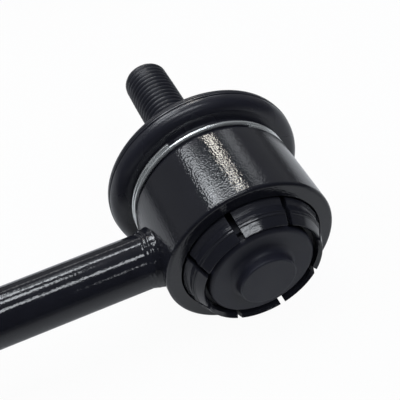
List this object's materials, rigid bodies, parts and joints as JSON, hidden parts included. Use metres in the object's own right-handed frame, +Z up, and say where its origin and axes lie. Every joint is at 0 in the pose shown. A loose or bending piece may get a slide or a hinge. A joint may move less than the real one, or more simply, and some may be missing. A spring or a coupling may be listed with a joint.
{
  "type": "stabilizer link",
  "caption": "Straight stabilizer link: a black steel rod with a sealed ball joint welded to each end, threaded studs to one side and snap-fingered end caps to the other.",
  "frame": {"origin": "middle of the link's bounding box: midway between the two joints, in the plane of the rod and the studs", "axes": "+X along the rod towards the joint in the picture, +Y the way both studs point, +Z up as the link lies on its side"},
  "size_m": [0.2188, 0.0632, 0.0386],
  "materials": {
    "black_paint": "semi-gloss black paint over steel",
    "stud_steel": "black coated steel, satin",
    "seat_plastic": "satin black moulded plastic",
    "cap_plastic": "matte black moulded plastic",
    "boot_rubber": "smooth black rubber",
    "spring_steel": "bright zinc-plated wire"
  },
  "bodies": {
    "link": {"rod": "black_paint", "weld_bead_a": "black_paint", "weld_bead_b": "black_paint", "housing_a": "black_paint", "housing_b": "black_paint", "ball_seat_a": "seat_plastic", "ball_seat_b": "seat_plastic", "end_cap_a": "cap_plastic", "end_cap_b": "cap_plastic"},
    "boot_a": {"dust_boot_a": "boot_rubber", "boot_clip_ring_a": "spring_steel"},
    "cuff_a": {"boot_top_ring_a": "spring_steel"},
    "stud_a": {"ball_stud_a": "stud_steel"},
    "boot_b": {"dust_boot_b": "boot_rubber", "boot_clip_ring_b": "spring_steel"},
    "cuff_b": {"boot_top_ring_b": "spring_steel"},
    "stud_b": {"ball_stud_b": "stud_steel"}
  },
  "joints": [
    {"name": "swing_direction_a", "type": "hinge", "parent": "link", "child": "boot_a", "pos_m": [0.09, -0.01738, 0], "axis": [0, 1, 0], "continuous": true},
    {"name": "swing_a", "type": "hinge", "parent": "boot_a", "child": "cuff_a", "pos_m": [0.09, -0.01738, 0], "axis": [0, 0, 1], "range_deg": [-22, 22], "deforming": ["dust_boot_a"]},
    {"name": "stud_spin_a", "type": "hinge", "parent": "cuff_a", "child": "stud_a", "pos_m": [0.09, -0.01738, 0], "axis": [0, 1, 0], "continuous": true},
    {"name": "swing_direction_b", "type": "hinge", "parent": "link", "child": "boot_b", "pos_m": [-0.09, -0.01738, 0], "axis": [0, 1, 0], "continuous": true},
    {"name": "swing_b", "type": "hinge", "parent": "boot_b", "child": "cuff_b", "pos_m": [-0.09, -0.01738, 0], "axis": [0, 0, 1], "range_deg": [-22, 22], "deforming": ["dust_boot_b"]},
    {"name": "stud_spin_b", "type": "hinge", "parent": "cuff_b", "child": "stud_b", "pos_m": [-0.09, -0.01738, 0], "axis": [0, 1, 0], "continuous": true}
  ]
}
